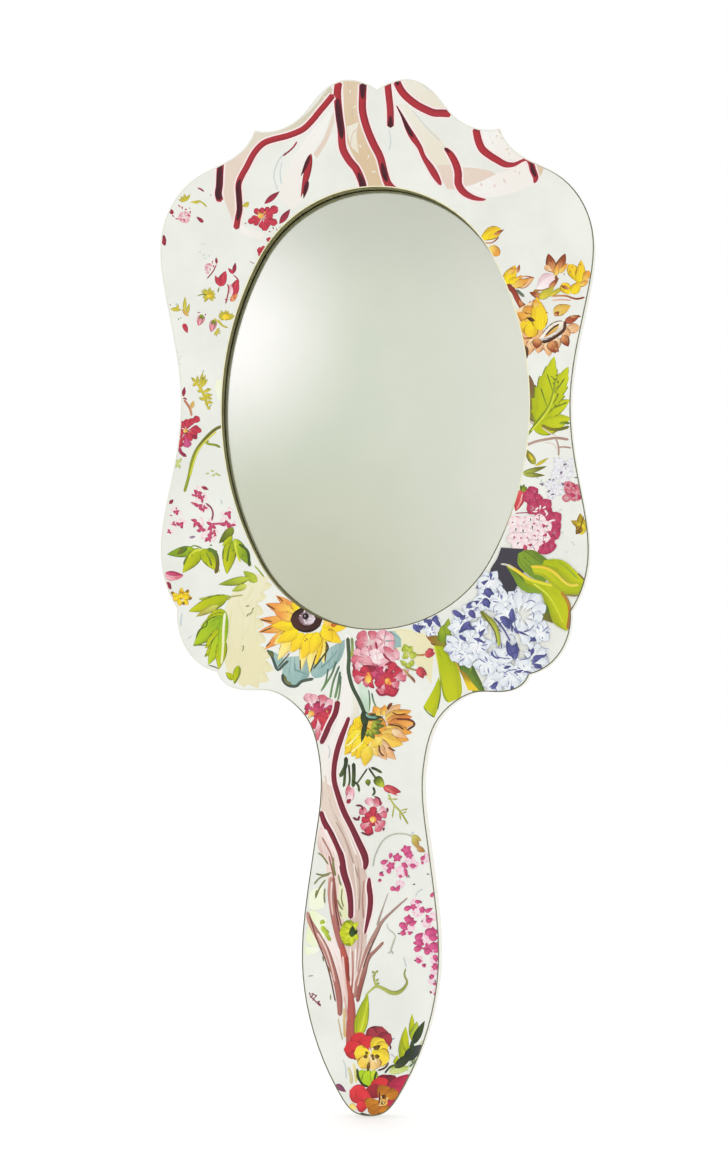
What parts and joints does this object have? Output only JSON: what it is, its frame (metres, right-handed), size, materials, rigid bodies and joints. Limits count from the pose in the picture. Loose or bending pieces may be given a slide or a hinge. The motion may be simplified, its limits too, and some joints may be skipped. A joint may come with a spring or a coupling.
{
  "type": "hand mirror",
  "caption": "Flat board hand mirror with a printed floral face, an oval mirror set in its head and a tapered handle cut from the same board.",
  "frame": {"origin": "middle of the handle's grip, halfway through the board's thickness", "axes": "+Z from the grip up to the head, -Y out of the mirror's reflecting face, +Y out of its back, +X to the right of someone who faces the back"},
  "size_m": [0.1264, 0.0112, 0.3],
  "materials": {
    "front_print": "floral print under clear gloss varnish",
    "back_print": "floral print under clear gloss varnish",
    "board": "medium density fibreboard, unfinished inside",
    "glue": "dried wood glue",
    "edge_band": "ivory paint, satin, its rim dark olive where it meets the print",
    "opening_band": "olive bronze, satin",
    "mirror_glass": "clear float glass, ground edge",
    "silvering": "silver film",
    "backing_paint": "grey protective paint",
    "foam": "white double-sided foam tape"
  },
  "bodies": {
    "root": {"front_print_sheet": "front_print", "front_board": "board", "board_glue_film": "glue", "back_board": "board", "back_print_sheet": "back_print", "edge_band": "edge_band", "opening_band": "opening_band", "mirror_glass": "mirror_glass", "mirror_silvering": "silvering", "mirror_backing_paint": "backing_paint", "glass_foam_pads": "foam"}
  },
  "joints": []
}
